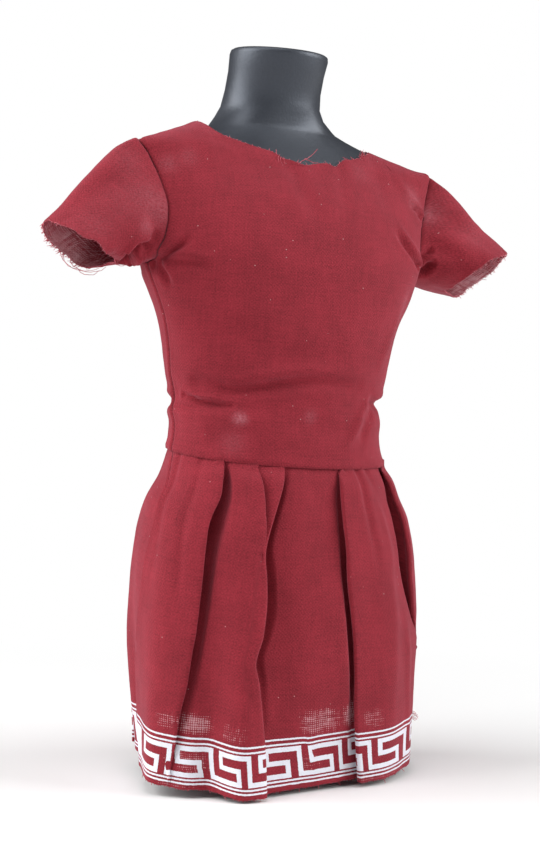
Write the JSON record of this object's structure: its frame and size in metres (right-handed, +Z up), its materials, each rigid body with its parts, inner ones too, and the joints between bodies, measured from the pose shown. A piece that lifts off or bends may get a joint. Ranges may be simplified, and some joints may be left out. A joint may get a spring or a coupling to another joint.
{
  "type": "tunic on dress form",
  "caption": "Short-sleeved doll's tunic with a pleated, key-bordered skirt, worn by a limbless dress form that stands on a pole and foot inside the skirt.",
  "frame": {"origin": "middle of the foot's flat underside, on the surface that the form stands on", "axes": "+Z up through the pole, torso and neck; the tunic's front faces -Y; the wearer's left sleeve is at +X"},
  "size_m": [0.1044, 0.0449, 0.149],
  "materials": {
    "cotton": "plain-woven dark red cotton, matt, with raw frayed neckline and cuffs",
    "cotton_border": "the same cotton with a white printed key border above a raw hem",
    "form_plastic": "black moulded plastic, semi-matt"
  },
  "bodies": {
    "root": {"tunic_front": "cotton", "tunic_back": "cotton", "sleeve_right": "cotton", "sleeve_left": "cotton", "skirt_front": "cotton_border", "skirt_back": "cotton_border", "form_torso": "form_plastic", "form_pole": "form_plastic", "form_foot": "form_plastic"}
  },
  "joints": []
}
